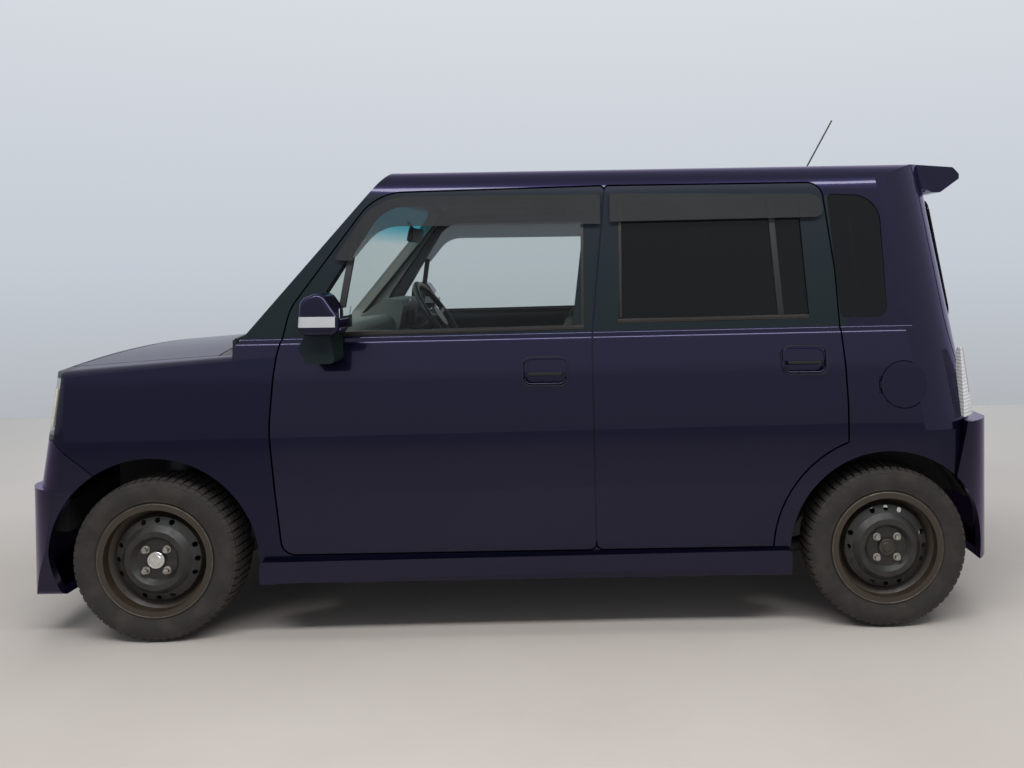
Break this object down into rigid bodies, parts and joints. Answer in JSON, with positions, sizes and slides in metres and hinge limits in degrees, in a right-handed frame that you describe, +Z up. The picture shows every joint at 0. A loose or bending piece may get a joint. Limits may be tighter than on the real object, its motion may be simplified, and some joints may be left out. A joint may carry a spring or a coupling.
{
  "type": "kei car",
  "caption": "Tall boxy kei car with a hollow cabin, hinged doors, hood, tailgate and fuel lid, steered front wheels and free-rolling wheels.",
  "frame": {"origin": "ground level under the centre of the bounding box", "axes": "+X forward, +Y to the vehicle's left, +Z up"},
  "size_m": [3.395, 1.723, 1.8203],
  "materials": {
    "body_paint": "glossy dark purple pearl",
    "underbody_paint": "matte underseal",
    "black_trim": "grained black",
    "clear_glass": "green tinted",
    "dark_glass": "dark privacy tint",
    "smoked_plastic": "smoked",
    "lamp_lens": "clear lens",
    "interior_plastic": "fine grain",
    "seat_fabric": "woven",
    "cast_metal": "rough cast",
    "chassis_steel": "satin black",
    "exhaust_steel": "dull",
    "tyre_rubber": "dusty rubber",
    "wheel_steel": "black enamel, dusty"
  },
  "bodies": {
    "root": {"side_frames": "body_paint", "roof": "body_paint", "front_wings": "body_paint", "front_bumper": "body_paint", "rear_bumper": "body_paint", "side_skirts": "body_paint", "floor": "underbody_paint", "front_frame": "underbody_paint", "face_panel": "black_trim", "cowl": "black_trim", "grille": "black_trim", "wipers": "black_trim", "windscreen": "clear_glass", "quarter_glasses": "dark_glass", "headlamps": "lamp_lens", "tail_lamps": "lamp_lens", "antenna": "black_trim", "dashboard": "interior_plastic", "steering_column": "black_trim", "front_seats": "seat_fabric", "rear_seat": "seat_fabric", "engine": "cast_metal", "front_subframe": "chassis_steel", "rear_axle": "chassis_steel", "exhaust": "exhaust_steel", "fuel_tank": "black_trim"},
    "hood": {"hood": "body_paint"},
    "tailgate": {"tailgate": "body_paint", "tailgate_glass": "dark_glass", "rear_spoiler": "body_paint"},
    "fuel_lid": {"fuel_lid": "body_paint"},
    "steering_wheel": {"steering_wheel": "black_trim"},
    "front_door_left": {"front_door_left": "body_paint", "front_door_glass_left": "clear_glass", "visor_front_left": "smoked_plastic", "mirror_left": "body_paint"},
    "rear_door_left": {"rear_door_left": "body_paint", "rear_door_glass_left": "dark_glass", "visor_rear_left": "smoked_plastic"},
    "knuckle_left": {"knuckle_left": "chassis_steel"},
    "wheel_front_left": {"tyre_front_left": "tyre_rubber", "wheel_front_left": "wheel_steel"},
    "wheel_rear_left": {"tyre_rear_left": "tyre_rubber", "wheel_rear_left": "wheel_steel"},
    "front_door_right": {"front_door_right": "body_paint", "front_door_glass_right": "clear_glass", "visor_front_right": "smoked_plastic", "mirror_right": "body_paint"},
    "rear_door_right": {"rear_door_right": "body_paint", "rear_door_glass_right": "dark_glass", "visor_rear_right": "smoked_plastic"},
    "knuckle_right": {"knuckle_right": "chassis_steel"},
    "wheel_front_right": {"tyre_front_right": "tyre_rubber", "wheel_front_right": "wheel_steel"},
    "wheel_rear_right": {"tyre_rear_right": "tyre_rubber", "wheel_rear_right": "wheel_steel"}
  },
  "joints": [
    {"name": "hood_hinge", "type": "hinge", "parent": "root", "child": "hood", "pos_m": [1.03, 0, 0.983], "axis": [0, -1, 0], "range_deg": [0, 55]},
    {"name": "tailgate_hinge", "type": "hinge", "parent": "root", "child": "tailgate", "pos_m": [-1.4215, 0, 1.647], "axis": [0, 1, 0], "range_deg": [0, 85]},
    {"name": "fuel_lid_hinge", "type": "hinge", "parent": "root", "child": "fuel_lid", "pos_m": [-1.24992, 0.72459, 0.84448], "axis": [0, 0, -1], "range_deg": [0, 80]},
    {"name": "steering_wheel_turn", "type": "hinge", "parent": "root", "child": "steering_wheel", "pos_m": [0.45305, -0.34, 1.0244], "axis": [-0.8305, 0, 0.5571], "range_deg": [-540, 540]},
    {"name": "front_door_left_hinge", "type": "hinge", "parent": "root", "child": "front_door_left", "pos_m": [0.8185, 0.7385, 0.7], "axis": [0, 0, -1], "range_deg": [0, 65]},
    {"name": "rear_door_left_hinge", "type": "hinge", "parent": "root", "child": "rear_door_left", "pos_m": [-0.2655, 0.7385, 0.7], "axis": [0, 0, -1], "range_deg": [0, 65]},
    {"name": "knuckle_left_steer", "type": "hinge", "parent": "root", "child": "knuckle_left", "pos_m": [1.2125, 0.585, 0.19], "axis": [0, -0.1619, 0.9868], "range_deg": [-34, 34]},
    {"name": "wheel_front_left_spin", "type": "hinge", "parent": "knuckle_left", "child": "wheel_front_left", "pos_m": [1.2125, 0.6525, 0.2785], "axis": [0, 1, 0], "continuous": true},
    {"name": "wheel_rear_left_spin", "type": "hinge", "parent": "root", "child": "wheel_rear_left", "pos_m": [-1.2775, 0.6475, 0.2785], "axis": [0, 1, 0], "continuous": true},
    {"name": "front_door_right_hinge", "type": "hinge", "parent": "root", "child": "front_door_right", "pos_m": [0.8185, -0.7385, 0.7], "axis": [0, 0, 1], "range_deg": [0, 65]},
    {"name": "rear_door_right_hinge", "type": "hinge", "parent": "root", "child": "rear_door_right", "pos_m": [-0.2655, -0.7385, 0.7], "axis": [0, 0, 1], "range_deg": [0, 65]},
    {"name": "knuckle_right_steer", "type": "hinge", "parent": "root", "child": "knuckle_right", "pos_m": [1.2125, -0.585, 0.19], "axis": [0, 0.1619, 0.9868], "range_deg": [-34, 34]},
    {"name": "wheel_front_right_spin", "type": "hinge", "parent": "knuckle_right", "child": "wheel_front_right", "pos_m": [1.2125, -0.6525, 0.2785], "axis": [0, 1, 0], "continuous": true},
    {"name": "wheel_rear_right_spin", "type": "hinge", "parent": "root", "child": "wheel_rear_right", "pos_m": [-1.2775, -0.6475, 0.2785], "axis": [0, 1, 0], "continuous": true}
  ],
  "couplings": [
    {"joint": "knuckle_left_steer", "follows": "steering_wheel_turn", "ratio": 0.0629},
    {"joint": "knuckle_right_steer", "follows": "steering_wheel_turn", "ratio": 0.0629}
  ]
}
